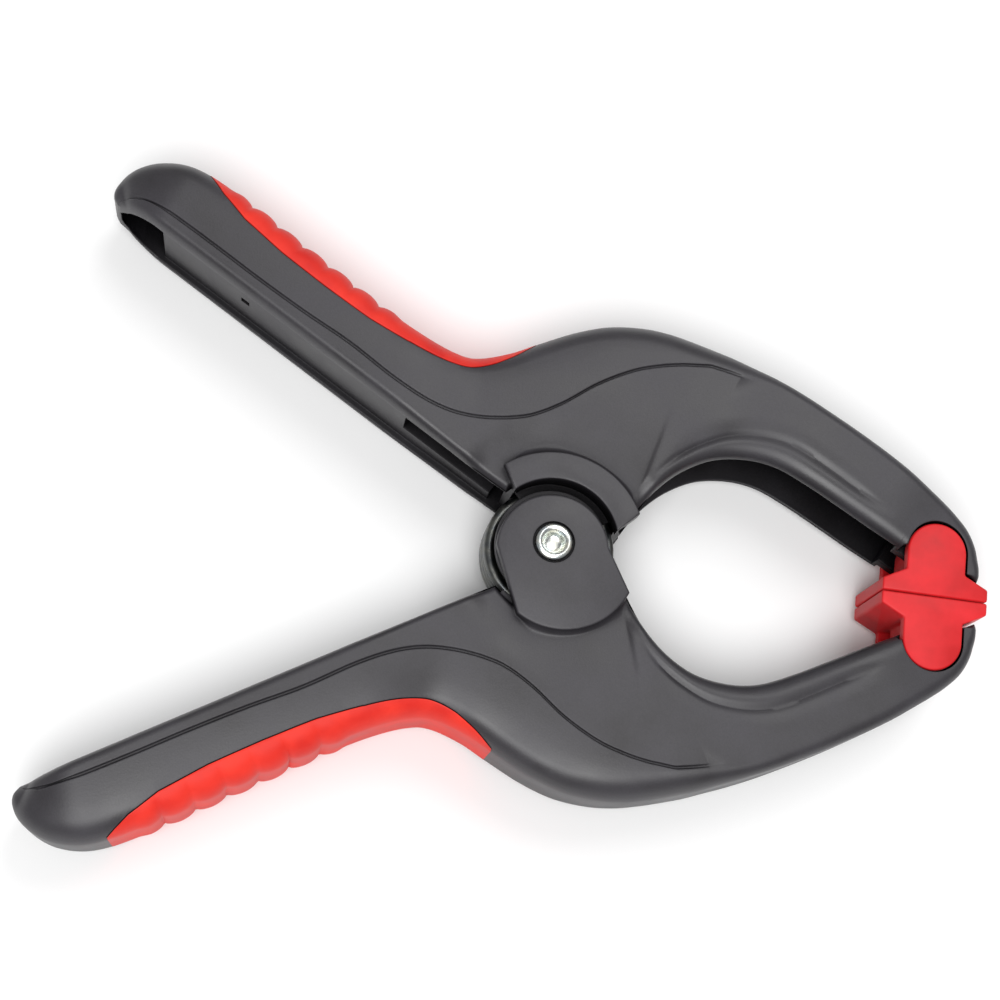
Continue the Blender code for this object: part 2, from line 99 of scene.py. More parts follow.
def plateFrom(outline, low, high, edgeRound=0.0):
    # an outline in X and Y made into a plate, with its top and bottom edges rounded
    bm = bmesh.new()
    face = bm.faces.new([bm.verts.new((x, y, low)) for x, y in outline])
    lifted = bmesh.ops.extrude_face_region(bm, geom=[face])["geom"]
    top = [v for v in lifted if isinstance(v, bmesh.types.BMVert)]
    bmesh.ops.translate(bm, vec=(0, 0, high - low), verts=top)
    bmesh.ops.recalc_face_normals(bm, faces=bm.faces)
    if edgeRound:
        rims = [e for e in bm.edges if abs(e.verts[0].co.z - e.verts[1].co.z) < 1e-5]
        bmesh.ops.bevel(bm, geom=rims, offset=edgeRound, offset_type="OFFSET", segments=3,
                        profile=0.5, affect="EDGES", material=-1, clamp_overlap=True)
    return bm


def spunFrom(profile):
    # (radius, height) pairs spun a full turn round the pivot's axis
    bm = bmesh.new()
    verts = [bm.verts.new((r, 0, z)) for r, z in profile]
    pairs = list(zip(verts, verts[1:]))
    if profile[0][0] > 0:
        pairs.append((verts[-1], verts[0]))   # a tube: its section is a closed loop
    edges = [bm.edges.new(pair) for pair in pairs]
    bmesh.ops.spin(bm, geom=verts + edges, axis=(0, 0, 1), angle=2 * pi, steps=96, use_merge=True)
    bmesh.ops.remove_doubles(bm, verts=bm.verts, dist=0.0005)
    return bm


def looseObject(name, bm):
    # a working object in millimetres, before it goes to its place
    bmesh.ops.recalc_face_normals(bm, faces=bm.faces)
    mesh = bpy.data.meshes.new(name)
    bm.to_mesh(mesh)
    bm.free()
    piece = bpy.data.objects.new(name, mesh)
    bpy.context.scene.collection.objects.link(piece)
    return piece


def carve(body, tool, operation="DIFFERENCE"):
    step = body.modifiers.new("carve", "BOOLEAN")
    step.operation = operation
    step.solver = "EXACT"
    step.object = tool
    depsgraph = bpy.context.evaluated_depsgraph_get()
    done = bpy.data.meshes.new_from_object(body.evaluated_get(depsgraph))
    body.modifiers.clear()
    body.data = done
    bpy.data.objects.remove(tool)


def cleaned(bm):
    # no specks of faces left by a Boolean or a bevel
    bmesh.ops.remove_doubles(bm, verts=bm.verts, dist=0.0008)
    bmesh.ops.dissolve_degenerate(bm, edges=bm.edges, dist=0.0008)
    return bm


def shellsOf(*pieces):
    # working objects gathered into one bmesh
    bm = bmesh.new()
    for piece in pieces:
        shell = bmesh.new()
        shell.from_mesh(piece.data)
        cleaned(shell).to_mesh(piece.data)
        shell.free()
        bm.from_mesh(piece.data)
        bpy.data.objects.remove(piece)
    return bm


def joined(*parts):
    bm = bmesh.new()
    for part in parts:
        scratch = bpy.data.meshes.new("scratch")
        bmesh.ops.recalc_face_normals(part, faces=part.faces)
        part.to_mesh(scratch)
        part.free()
        bm.from_mesh(scratch)
        bpy.data.meshes.remove(scratch)
    return bm


def placePiece(name, bm, turn, finish, body, replaced, sharpAngle=38):
    # puts a finished bmesh at its real place, gives it its material and hangs it on its body
    lift = Matrix.Translation((0, 0, midHeight * mm))
    bm.transform(lift @ Matrix.Rotation(turn, 4, "X") @ Matrix.Scale(mm, 4))
    mesh = bpy.data.meshes.new(name)
    bm.to_mesh(mesh)
    bm.free()
    mesh.shade_smooth()
    mesh.set_sharp_from_angle(angle=radians(sharpAngle))
    mesh.materials.clear()
    mesh.materials.append(finish)
    piece = bpy.data.objects.new(name, mesh)
    bpy.context.scene.collection.objects.link(piece)
    if body:
        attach(piece, body)
    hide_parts(replaced)
    return piece


def hexColour(code):
    # sRGB hex to the linear colour that the shader wants
    values = [int(code[i:i + 2], 16) / 255 for i in (1, 3, 5)]
    return tuple(v / 12.92 if v <= 0.04045 else ((v + 0.055) / 1.055) ** 2.4 for v in values) + (1.0,)


def addNode(tree, kind, settings, links=None):
    node = tree.nodes.new(kind)
    for name, value in settings.items():
        if isinstance(name, str) and name.islower():
            setattr(node, name, value)
        else:
            node.inputs[name].default_value = value
    for name, source in (links or {}).items():
        tree.links.new(source, node.inputs[name])
    return node


def patternScale(sizeMm):
    # noise scale whose blotches are about this big, on Object coordinates in metres
    return 1 / (sizeMm * mm)


def newMaterial(name, settings):
    material = bpy.data.materials.new(name)
    material.use_nodes = True
    tree = material.node_tree
    shader = tree.nodes["Principled BSDF"]
    for socket, value in settings.items():
        shader.inputs[socket].default_value = value
    place = addNode(tree, "ShaderNodeTexCoord", {}).outputs["Object"]
    return material, tree, shader, place


def rampBetween(tree, factor, low, high, colours):
    ramp = addNode(tree, "ShaderNodeValToRGB", {}, {0: factor})
    ramp.color_ramp.elements[0].position = low
    ramp.color_ramp.elements[1].position = high
    for element, code in zip(ramp.color_ramp.elements, colours):
        element.color = hexColour(code)
    return ramp.outputs["Color"]


# Glass-filled nylon 6, injection moulded against a spark-eroded tool: an even satin
# charcoal whose fine pebbled grain spreads the highlight, a little paler where it is rubbed
nylonFinish = {
    "dark": "#2b292c",
    "light": "#363439",
    "worn": "#77757a",
    "grainMm": 0.42,
    "mottleMm": 14.0,
    "edgeMm": 0.45,
    # how far the ambient occlusion looks, for the painted shade in the hollows
    "paintedShadeMm": 30.0,
}


def makeNylon():
    f = nylonFinish
    material, tree, shader, place = newMaterial("glassFilledNylon", {
        "IOR": 1.53, "Specular IOR Level": 0.5, "Roughness": 0.5})
    mottle = addNode(tree, "ShaderNodeTexNoise", {"Scale": patternScale(f["mottleMm"]), "Detail": 4.0},
                     {"Vector": place})
    grain = addNode(tree, "ShaderNodeTexNoise", {"Scale": patternScale(f["grainMm"]), "Detail": 3.0,
                                                 "Roughness": 0.6}, {"Vector": place})
    colour = rampBetween(tree, mottle.outputs["Fac"], 0.3, 0.7, (f["dark"], f["light"]))
    # the moulded texture also shows as a faint speckle
    speckle = addNode(tree, "ShaderNodeMapRange", {"From Min": 0.35, "From Max": 0.7, "To Min": 0.9,
                                                   "To Max": 1.12}, {"Value": grain.outputs["Fac"]})
    tinted = addNode(tree, "ShaderNodeMix", {"data_type": "RGBA", "blend_type": "MULTIPLY", 0: 1.0},
                     {6: colour, 7: speckle.outputs["Result"]})
    # rubbed edges: where the rounded normal leaves the true one
    soft = addNode(tree, "ShaderNodeBevel", {"samples": 4, "Radius": f["edgeMm"] * mm})
    sharp = addNode(tree, "ShaderNodeNewGeometry", {})
    meet = addNode(tree, "ShaderNodeVectorMath", {"operation": "DOT_PRODUCT"},
                   {0: soft.outputs["Normal"], 1: sharp.outputs["Normal"]})
    rub = addNode(tree, "ShaderNodeMapRange", {"From Min": 0.97, "From Max": 0.8, "To Min": 0.0,
                                               "To Max": 0.35}, {"Value": meet.outputs["Value"]})
    patchy = addNode(tree, "ShaderNodeMath", {"operation": "MULTIPLY"},
                     {0: rub.outputs["Result"], 1: mottle.outputs["Fac"]})
    worn = addNode(tree, "ShaderNodeMix", {"data_type": "RGBA", 7: hexColour(f["worn"])},
                   {0: patchy.outputs["Value"], 6: tinted.outputs[2]})
    gloss = addNode(tree, "ShaderNodeMapRange", {"From Min": 0.3, "From Max": 0.7, "To Min": 0.37,
                                                 "To Max": 0.49}, {"Value": mottle.outputs["Fac"]})
    bump = addNode(tree, "ShaderNodeBump", {"Strength": 0.22, "Distance": 0.00012},
                   {"Height": grain.outputs["Fac"], "Normal": soft.outputs["Normal"]})
    # painted shade: the ambient occlusion darkens the base colour towards near black and weakens the
    # reflection deep in the channels and hollows, where shade falls
    openness = addNode(tree, "ShaderNodeAmbientOcclusion",
                       {"samples": 6, "Distance": f["paintedShadeMm"] * mm})
    paintedShade = addNode(tree, "ShaderNodeMapRange", {"From Min": 0.2, "From Max": 0.94, "To Min": 0.04,
                                                  "To Max": 1.0}, {"Value": openness.outputs["AO"]})
    deep = addNode(tree, "ShaderNodeMix", {"data_type": "RGBA", "blend_type": "MULTIPLY", 0: 1.0},
                   {6: worn.outputs[2], 7: paintedShade.outputs["Result"]})
    shadedShine = addNode(tree, "ShaderNodeMath", {"operation": "MULTIPLY", 1: 0.5},
                    {0: paintedShade.outputs["Result"]})
    tree.links.new(deep.outputs[2], shader.inputs["Base Color"])
    tree.links.new(shadedShine.outputs["Value"], shader.inputs["Specular IOR Level"])
    tree.links.new(gloss.outputs["Result"], shader.inputs["Roughness"])
    tree.links.new(bump.outputs["Normal"], shader.inputs["Normal"])
    return material


# Thermoplastic elastomer, moulded: saturated matt red with a soft edge to every highlight,
# light carried a little way under the skin, and faint blotches from handling
gripFinish = {"dark": "#cd1c11", "light": "#e83120", "roughness": (0.5, 0.62), "mottleMm": 9.0,
              "grainMm": 0.5, "paintedShadeMm": 30.0, "bump": 0.16, "glow": 0.06}
padFinish = {"dark": "#bf171b", "light": "#de252b", "roughness": (0.42, 0.54), "mottleMm": 9.0,
             "grainMm": 0.7, "paintedShadeMm": 30.0, "bump": 0.1, "glow": 0.08}


def makeElastomer(name, f):
    material, tree, shader, place = newMaterial(name, {
        "IOR": 1.5, "Subsurface Weight": f["glow"], "Subsurface Scale": 0.001,
        "Subsurface Radius": (1.0, 0.25, 0.15), "Sheen Weight": 0.03, "Sheen Roughness": 0.5,
        "Specular IOR Level": 0.35})
    mottle = addNode(tree, "ShaderNodeTexNoise", {"Scale": patternScale(f["mottleMm"]), "Detail": 4.0},
                     {"Vector": place})
    grain = addNode(tree, "ShaderNodeTexNoise", {"Scale": patternScale(f["grainMm"]), "Detail": 3.0},
                    {"Vector": place})
    colour = rampBetween(tree, mottle.outputs["Fac"], 0.3, 0.7, (f["dark"], f["light"]))
    low, high = f["roughness"]
    gloss = addNode(tree, "ShaderNodeMapRange", {"From Min": 0.3, "From Max": 0.7, "To Min": low,
                                                 "To Max": high}, {"Value": mottle.outputs["Fac"]})
    bump = addNode(tree, "ShaderNodeBump", {"Strength": f["bump"], "Distance": 0.0001},
                   {"Height": grain.outputs["Fac"]})
    # painted shade on the reflection: side faces that look at something close, as the ambient
    # occlusion finds, shine less
    openness = addNode(tree, "ShaderNodeAmbientOcclusion",
                       {"samples": 6, "Distance": f["paintedShadeMm"] * mm})
    shadedShine = addNode(tree, "ShaderNodeMapRange", {"From Min": 0.35, "From Max": 0.95, "To Min": 0.02,
                                                 "To Max": 0.35}, {"Value": openness.outputs["AO"]})
    tree.links.new(shadedShine.outputs["Result"], shader.inputs["Specular IOR Level"])
    tree.links.new(colour, shader.inputs["Base Color"])
    tree.links.new(gloss.outputs["Result"], shader.inputs["Roughness"])
    tree.links.new(bump.outputs["Normal"], shader.inputs["Normal"])
    return material


# Mild steel with bright zinc plate: cool white metal with a faint bloom of colour,
# fine turned marks and a soft, slightly cloudy reflection
zincFinish = {"cool": "#cdd5d8", "warm": "#e4e3d8", "cloudMm": 1.6, "grainMm": 0.16}
# Hard-drawn spring wire with an oily film: mid-grey metal, streaked
wireFinish = {"cool": "#5b5e61", "warm": "#74746f", "cloudMm": 2.5, "grainMm": 0.3}


def makeMetal(name, f, roughness):
    material, tree, shader, place = newMaterial(name, {"Metallic": 1.0})
    cloud = addNode(tree, "ShaderNodeTexNoise", {"Scale": patternScale(f["cloudMm"]), "Detail": 5.0},
                    {"Vector": place})
    grain = addNode(tree, "ShaderNodeTexNoise", {"Scale": patternScale(f["grainMm"]), "Detail": 2.0},
                    {"Vector": place})
    colour = rampBetween(tree, cloud.outputs["Fac"], 0.35, 0.65, (f["cool"], f["warm"]))
    low, high = roughness - 0.07, roughness + 0.08
    gloss = addNode(tree, "ShaderNodeMapRange", {"From Min": 0.3, "From Max": 0.7, "To Min": low,
                                                 "To Max": high}, {"Value": cloud.outputs["Fac"]})
    bump = addNode(tree, "ShaderNodeBump", {"Strength": 0.12, "Distance": 0.00005},
                   {"Height": grain.outputs["Fac"]})
    tree.links.new(colour, shader.inputs["Base Color"])
    tree.links.new(gloss.outputs["Result"], shader.inputs["Roughness"])
    tree.links.new(bump.outputs["Normal"], shader.inputs["Normal"])
    return material


nylon = makeNylon()
gripRubber = makeElastomer("gripElastomer", gripFinish)
padRubber = makeElastomer("padElastomer", padFinish)
zincSteel = makeMetal("brightZincSteel", zincFinish, 0.26)
springWire = makeMetal("drawnSpringWire", wireFinish, 0.34)
print("materials made")


# All in mm, in the arm's own frame: X to the jaws, Y away from the other arm, mid-plane at 0.
# The inner lug and the raised ring are on +Z, the outer cheek is on -Z.
armShape = {
    "handleAngle": 149.5,
    "handleOffset": 3.3,
    # X and half the thickness there
    "halfThickness": ((-40, 14.8), (-20, 13.3), (20, 13.3), (30, 13.4), (78, 13.4), (101, 11.2)),
    "wall": 3.2,
    "faceWall": 3.6,
    "handleHollow": 10.9,
    "jawHollow": 10.2,
    "noseHollow": 4.9,
    "hubCutout": 16.4,
    "stepsPerSpan": 8,
    # end rounding: tip (start, length, most), narrow sections (most, width), nose (most, stations)
    "tipRound": (121.0, 13.6, 6.5),
    "narrowRound": (3.0, 11),
    "noseRound": (0.9, 9),
    # rounding of the outer edge and crown of the front: on the handle, how much less on the jaw
    "edgeRound": (5.4, 2.9),
    "edgeFade": (22, 48),
    "edgeMost": {"ofWidth": 0.36, "ofStyleDepth": 0.42, "handleBelowX": -60},
    "edgeDrop": 0.95,
    "crown": (1.5, 0.9),
    "crownFade": (20, 50),
    "fullWidth": 16,
    # depths of the two engraved lines, and where along X they come and go
    "styleGroove": 0.5,
    "grooveFade": (29, 42),
    "throatCrease": 0.7,
    "creaseRise": (23, 36),
    "creaseFade": (72, 83),
    # handle: outer edge (along, out), rim (along), depth of the style line, width of the rim bead
    "handle": [
        (131.6, 0.1, 130.4, 0.8, 0.3), (133.4, 1.1, 129.9, 2.6, 0.7),
        (134.4, 3.2, 129.2, 4.6, 1.1), (134.3, 6.6, 127.9, 7.0, 1.5),
        (132.6, 10.6, 125.8, 9.5, 1.8), (129.6, 14.2, 123.4, 12.1, 2.2),
        (125.2, 17.0, 120.4, 14.0, 2.3), (120.0, 18.6, 117.0, 14.9, 2.3),
        (113.0, 19.2, 112.0, 15.2, 2.3), (104.0, 19.3, 104.0, 15.2, 2.3),
        (92.0, 19.0, 92.0, 14.9, 2.3), (79.0, 18.8, 79.0, 14.4, 2.3),
        (66.0, 18.7, 66.0, 13.6, 2.3), (54.0, 19.2, 52.0, 14.4, 2.3), (46.0, 20.6, 40.0, 15.2, 2.3),
    ],
    # where the handle meets the hub: outer edge (x, y), rim (along), style depth, bead width
    "handleEnd": (-22.0, 43.6, 26.0, 15.9, 2.4),
    # hub: outer edge (x, y), angle on the cut-out, style depth, bead width
    "hub": [
        (-14.5, 46.0, 137.0, 17.5, 2.4), (-7.5, 49.6, 118.0, 19.4, 2.4), (0.5, 53.5, 98.0, 19.5, 2.4),
        (8.5, 56.2, 76.0, 16.5, 2.4), (16.5, 57.1, 52.0, 13.0, 3.0), (23.0, 56.7, 32.0, 10.5, 5.0),
        (28.0, 55.7, 17.0, 8.5, 8.0),
    ],
    # jaw: outer edge (x, y), throat edge (x, y), style depth, bead width
    "jaw": [
        (31.5, 54.8, 17.0, 7.0, 7.3, 11.0), (35.5, 53.6, 20.0, 12.0, 5.8, 10.0),
        (39.5, 52.3, 23.6, 17.0, 4.5, 8.8), (44.5, 50.3, 29.0, 22.0, 3.4, 7.8),
        (50.0, 48.1, 36.0, 25.8, 3.2, 7.3), (57.0, 45.0, 44.0, 27.1, 3.2, 7.0),
        (64.0, 41.5, 51.5, 26.2, 3.2, 6.6), (71.0, 37.8, 59.5, 22.8, 3.2, 6.0),
        (78.0, 33.8, 68.0, 18.4, 3.2, 5.6), (84.0, 30.0, 75.5, 14.4, 3.2, 5.4),
        (88.5, 26.8, 81.0, 11.6, 3.2, 5.0),
    ],
    "nose": [
        (89.6, 26.0, 82.0, 11.1, 3.2, 4.6), (92.5, 23.9, 84.8, 9.5, 3.2, 4.0),
        (96.0, 21.1, 89.0, 7.4, 3.2, 3.4), (99.4, 17.6, 92.6, 6.6, 3.0, 2.8),
        (101.5, 13.6, 95.6, 6.6, 2.6, 2.2), (102.4, 9.6, 97.4, 6.6, 2.0, 1.8),
        (102.5, 6.8, 98.4, 6.5, 1.6, 1.4), (102.2, 5.0, 99.4, 6.4, 1.2, 1.0),
    ],
}


def onHandle(along, out):
    a = radians(armShape["handleAngle"])
    reach = out + armShape["handleOffset"]
    return (cos(a) * along + sin(a) * reach, sin(a) * along - cos(a) * reach)


def handleAlong(point):
    a = radians(armShape["handleAngle"])
    return point[0] * cos(a) + point[1] * sin(a)


def halfThickness(x):
    knots = armShape["halfThickness"]
    if x <= knots[0][0]:
        return knots[0][1]
    for (x0, h0), (x1, h1) in zip(knots, knots[1:]):
        if x <= x1:
            return h0 + (h1 - h0) * smoothStep(x0, x1, x)
    return knots[-1][1]


def armStations(steps):
    # outer point, inner point, style depth and bead width at every station, tip to nose
    s = armShape
    outer = [onHandle(row[0], row[1]) + row[3:] for row in s["handle"]]
    outer.append(s["handleEnd"][:2] + s["handleEnd"][3:])
    outer += [row[:2] + row[3:] for row in s["hub"]]
    outer += [row[:2] + row[4:] for row in s["jaw"] + s["nose"]]
    rim = [onHandle(row[2], 0) for row in s["handle"]] + [onHandle(s["handleEnd"][2], 0)]
    roundHub = [arcPoints((0, 0), s["hubCutout"], row[2], row[2], 1)[0] for row in s["hub"]]
    throat = [roundHub[-1]] + [row[2:4] for row in s["jaw"] + s["nose"]]
    inner = throughPoints(rim + [roundHub[0]], steps)
    inner += throughPoints(roundHub, steps)[1:] + throughPoints(throat, steps)[1:]
    return list(zip(throughPoints(outer, steps), inner))


def armTop(outer, inner, style, endRound=0.0):
    # the moulding's front surface: half its thickness, its rounding, and its height at a depth
    s = armShape
    wide = (inner - outer).length
    middle = (outer.x + inner.x) / 2
    half = halfThickness(middle) - endRound
    most = s["edgeMost"]
    fullEdge, jawLess = s["edgeRound"]
    edge = min(fullEdge - jawLess * smoothStep(*s["edgeFade"], middle), most["ofWidth"] * wide)
    if middle < most["handleBelowX"]:
        edge = min(edge, most["ofStyleDepth"] * style)
    style = max(style, edge + 0.8)
    fullCrown, jawLess = s["crown"]
    crown = fullCrown - jawLess * smoothStep(*s["crownFade"], middle)
    crown *= min(1, wide / s["fullWidth"])

    def top(depth):
        drop = crown * (max(style - depth, 0) / style) ** 2
        if depth < edge:
            inRound = (edge - max(depth, 0)) / edge
            drop += s["edgeDrop"] * edge * (1 - sqrt(max(1 - inRound ** 2, 0)))
        return half - drop

    return half, edge, style, top


def armSection(outer, inner, style, bead, hollow, endRound):
    # half the channel section as (depth from the outer edge, height), outer wall to inside
    s = armShape
    wide = (inner - outer).length
    middle = (outer.x + inner.x) / 2
    half, edge, style, top = armTop(outer, inner, style, endRound)
    groove = s["styleGroove"] * (1 - smoothStep(*s["grooveFade"], middle))
    groove *= min(1, wide / s["fullWidth"])
    crease = s["throatCrease"] * smoothStep(*s["creaseRise"], middle)
    crease *= 1 - smoothStep(*s["creaseFade"], middle)
    section = [(0.0, 0.0), (0.0, top(0.0) * 0.55)]
    for a in range(0, 91, 15):
        depth = edge * (1 - cos(radians(a)))
        section.append((depth, top(depth)))
    for share in (0.35, 0.7):
        depth = edge + (style - 0.5 - edge) * share
        section.append((depth, top(depth)))
    for offset, cut in ((-0.5, 0.0), (-0.16, 1.0), (0.16, 1.0), (0.5, 0.0)):
        depth = min(style + offset, wide - 1.4 * bead - 0.2)
        section.append((depth, top(depth) - groove * cut))
    plateau = section[-1][0]
    creaseStart = wide - 1.3 * bead - 0.1
    for share in (0.33, 0.66):
        section.append((plateau + (creaseStart - plateau) * share, half))
    # distance from the inner edge as a share of the bead, drop by the crease, drop by the rounding
    lip = min(2.9, half - hollow - 0.5) / 2.9
    beadShape = ((1.3, 0.0, 0.0), (1.12, 0.5, 0.0), (1.0, 1.0, 0.0), (0.9, 0.8, 0.0),
                 (0.76, 0.25, 0.03), (0.6, 0.0, 0.12), (0.45, 0.0, 0.3), (0.3, 0.0, 0.65),
                 (0.17, 0.0, 1.15), (0.07, 0.0, 1.85), (0.0, 0.0, 2.9))
    for share, dip, drop in beadShape:
        section.append((wide - share * bead, half - crease * dip - lip * drop))
    section[-1] = (wide, section[-1][1])
    # no station may fold back on itself where the arm is narrow
    for k in range(2, len(section)):
        section[k] = (max(section[k][0], section[k - 1][0] + 0.015), section[k][1])
    for k in range(len(section) - 2, 1, -1):
        section[k] = (min(section[k][0], section[k + 1][0] - 0.015), section[k][1])
    lessen = min(1, wide / 4.5)
    wall = min(s["wall"], wide - 1.2 * lessen)
    section += [(wide, hollow + 0.3), (wide - 0.3 * lessen, hollow), (wall + 0.8 * lessen, hollow),
                (wall, hollow - 0.8), (wall, 0.0)]
    return section


# heights from the mid-plane and radii; the ring and lug face the front, the cheek the back
hubShape = {
    "cheekFace": 14.2,
    "cheekBack": 11.0,
    "lugFace": 10.7,
    "lugBack": 7.9,
    "collar": (10.8, 8.8, 4.2),
    "cheekCentre": (0.0, 1.8),
    "cheekRadius": 13.1,
    "plateauCentre": (2.6, 2.9),
    "plateauRadius": 17.4,
    "ringInner": 15.2,
    "ringOuter": 21.6,
    "wall": (15.7, 18.1),
    "lugRadius": 13.2,
    "bore": 3.3,
    "sink": (4.9, 13.4),
    "reliefInner": 13.0,
    "reliefFloor": 0.5,
    # room for the spring's leg through the wall: along the handle and out from its rim
    "legWay": ((1.5, 24), (7, 12.8)),
    # how deep the body dips, and the radii between which it rises again
    "dip": 1.5,
    "ringDip": (23.4, 29.5),
    "cheekDip": (19.2, 25.6),
    # the fillet's foot and its (distance from the rim, height from the rim's top)
    "filletFoot": 9.5,
    "filletStart": (-1.2, -0.35),
    "fillet": [(-0.1, -0.5), (0.25, -1.0), (0.55, -1.5), (0.95, -1.9), (1.5, -2.15), (2.4, -2.3),
               (3.6, -2.38), (4.6, -2.4)],
}


def hubDip(x, y, front):
    # the body dips round the ring on its front and round the cheek on its back
    h = hubShape
    if front:
        return h["dip"] * (1 - smoothStep(*h["ringDip"], sqrt(x * x + y * y)))
    px, py = h["plateauCentre"]
    return h["dip"] * (1 - smoothStep(*h["cheekDip"], sqrt((x - px) ** 2 + (y - py) ** 2)))


def armBody(stations):
    s = armShape
    handleEnd = len(s["handle"]) * s["stepsPerSpan"]
    noseStart = (len(s["handle"]) + 1 + len(s["hub"]) + len(s["jaw"])) * s["stepsPerSpan"]
    tipStart, tipLength, tipMost = s["tipRound"]
    narrowMost, narrowWidth = s["narrowRound"]
    noseMost, noseStations = s["noseRound"]
    rings = []
    for k, (outer, inner) in enumerate(stations):
        edge = Vector((outer[0], outer[1]))
        rim = Vector(inner)
        # the furthest point still to come, so that the rounding never eases off near the tip
        reach = max([handleAlong(point) for point, _ in stations[k:handleEnd]], default=0)
        toTip = min(max((reach - tipStart) / tipLength, 0), 1)
        endRound = tipMost * (1 - sqrt(1 - toTip ** 2))
        endRound += noseMost * smoothStep(len(stations) - noseStations, len(stations), k)
        if k < handleEnd:
            hollow = s["handleHollow"]
            endRound += narrowMost * (1 - smoothStep(0, narrowWidth, (rim - edge).length))
        else:
            hollow = s["jawHollow"] if k < noseStart else s["noseHollow"]
        hollow = min(hollow, halfThickness(inner[0]) - endRound - s["faceWall"])
        half = armSection(edge, rim, outer[2], outer[3], hollow, endRound)
        inward = (rim - edge).normalized()
        ring = []
        for depth, height in half + [(d, -z) for d, z in half[-2:0:-1]]:
            x, y = edge + inward * depth
            # only the face dips, not the walls inside
            if abs(height) > hollow + 0.9 and inward.length:
                height -= hubDip(x, y, height > 0) * (1 if height > 0 else -1)
            ring.append((x, y, height))
        rings.append(ring)
    return loftThrough(rings)


webShape = {"depth": 1.7, "thick": 3.7, "from": 20.0, "to": 119.0, "slotTo": 46.0, "slotHalf": 4.2,
            "hole": (93.0, 95.4)}


def handlePlate(along, out, low, high):
    # a block set square to the handle, given along it and out from its rim
    corners = [(along[0], out[0]), (along[1], out[0]), (along[1], out[1]), (along[0], out[1])]
    return plateFrom([onHandle(*corner) for corner in corners], low, high)


def makeWeb():
    w = webShape
    reach = armShape["handleHollow"] + 0.6
    through = (w["depth"] - 1, w["depth"] + w["thick"] + 1)
    sheet = handlePlate((w["from"], w["to"]), (w["depth"], w["depth"] + w["thick"]), -reach, reach)
    web = looseObject("web", sheet)
    slot = handlePlate((w["from"] - 8, w["slotTo"]), through, -w["slotHalf"], w["slotHalf"])
    carve(web, looseObject("slot", slot))
    holeHalf = (w["hole"][1] - w["hole"][0]) / 2
    carve(web, looseObject("hole", handlePlate(w["hole"], through, -holeHalf, holeHalf)))
    return web


def filletRound(centre, out, start, end, way):
    # the concave sweep from a raised rim down to the body, dying away into the rim at both ends
    h = hubShape
    top = h["cheekFace"]
    foot = h["filletFoot"] - top
    profile = [(h["filletStart"][0], foot), h["filletStart"], *h["fillet"]]
    profile.append((profile[-1][0], foot))
    steps = 72
    rings = []
    for k in range(steps + 1):
        a = radians(start + (end - start) * k / steps)
        fade = smoothStep(0, 14, k) * (1 - smoothStep(60, steps, k))
        ring = []
        for r, z in profile:
            reach = out + (r * fade if r > -0.1 else r)
            height = way * (top + z - 0.3 * (1 - fade))
            ring.append((centre[0] + reach * cos(a), centre[1] + reach * sin(a), height))
        rings.append(ring)
    return loftThrough(rings)


def makeHub():
    # ring with its fillet, cheek with its fillet, lug with its collar, and the wall round the coil
    h = hubShape
    top = h["cheekFace"]
    ringOutline = arcPoints((0, 0), h["ringOuter"], 26, 128, 60)
    ringOutline += arcPoints((0, 0), h["ringInner"], 132, 18, 60)
    ring = plateFrom(ringOutline, h["lugFace"] - 1.2, top, 0.45)
    ringFillet = filletRound((0, 0), h["ringOuter"], 27, 127, 1)
    cheekOutline = arcPoints(h["cheekCentre"], h["cheekRadius"], 178, 350, 90)
    cheekOutline += arcPoints(h["plateauCentre"], h["plateauRadius"], 22, 122, 60)
    cheek = looseObject("cheek", plateFrom(cheekOutline, -top, -h["cheekBack"], 0.5))
    cheekFillet = filletRound(h["plateauCentre"], h["plateauRadius"], 23, 121, -1)
    lugOutline = arcPoints((0, 0), h["lugRadius"], 129, 391, 110)
    lugOutline += arcPoints((0, 0), h["ringInner"] + 2, 31, 129, 40)
    lug = looseObject("lug", plateFrom(lugOutline, h["lugBack"], h["lugFace"], 0.3))
    bore = h["bore"]
    sinkRadius, sinkFloor = h["sink"]
    cheekBore = [(0, -20), (bore, -20), (bore, 0), (0, 0)]
    cheekSink = [(0, -20), (sinkRadius, -20), (sinkRadius, -sinkFloor), (0, -sinkFloor)]
    lugBore = [(0, 0), (bore, 0), (bore, 20), (0, 20)]
    for body, profile in ((cheek, cheekBore), (cheek, cheekSink), (lug, lugBore)):
        carve(body, looseObject("bore", spunFrom(profile)))
    # relief in the lug below the gap between ring and cheek
    relief = arcPoints((0, 0), h["ringInner"] - 0.02, 24, 130, 40)
    relief += arcPoints((0, 0), h["reliefInner"], 130, 24, 40)
    carve(lug, looseObject("relief", plateFrom(relief, h["lugBack"] + h["reliefFloor"], 20)))
    collarOut, collarIn, collarBack = h["collar"]
    collarTop = h["lugBack"] + 1
    collar = spunFrom([(collarIn, collarBack), (collarOut, collarBack), (collarOut, collarTop),
                       (collarIn, collarTop)])
    wallInner, wallOuter = h["wall"]
    wallOutline = arcPoints((0, 0), wallInner, 22, 130, 60)
    wallOutline += arcPoints((0, 0), wallOuter, 130, 22, 60)
    reach = armShape["jawHollow"] + 0.8
    wall = looseObject("hubWall", plateFrom(wallOutline, -reach, reach))
    carve(wall, looseObject("legWay", handlePlate(*h["legWay"], -1, h["lugBack"] - 0.1)))
    return [ring, ringFillet, cheekFillet, collar], [cheek, lug, wall]


# the pads' swivel axes, and the pockets for their ears in the jaw
padPlace = {"x": 91.6, "y": 10.6, "pocketRadius": 7.6, "pocketWay": 9.3, "pocketNotch": 8.3,
            "pocketFloor": 8.0}


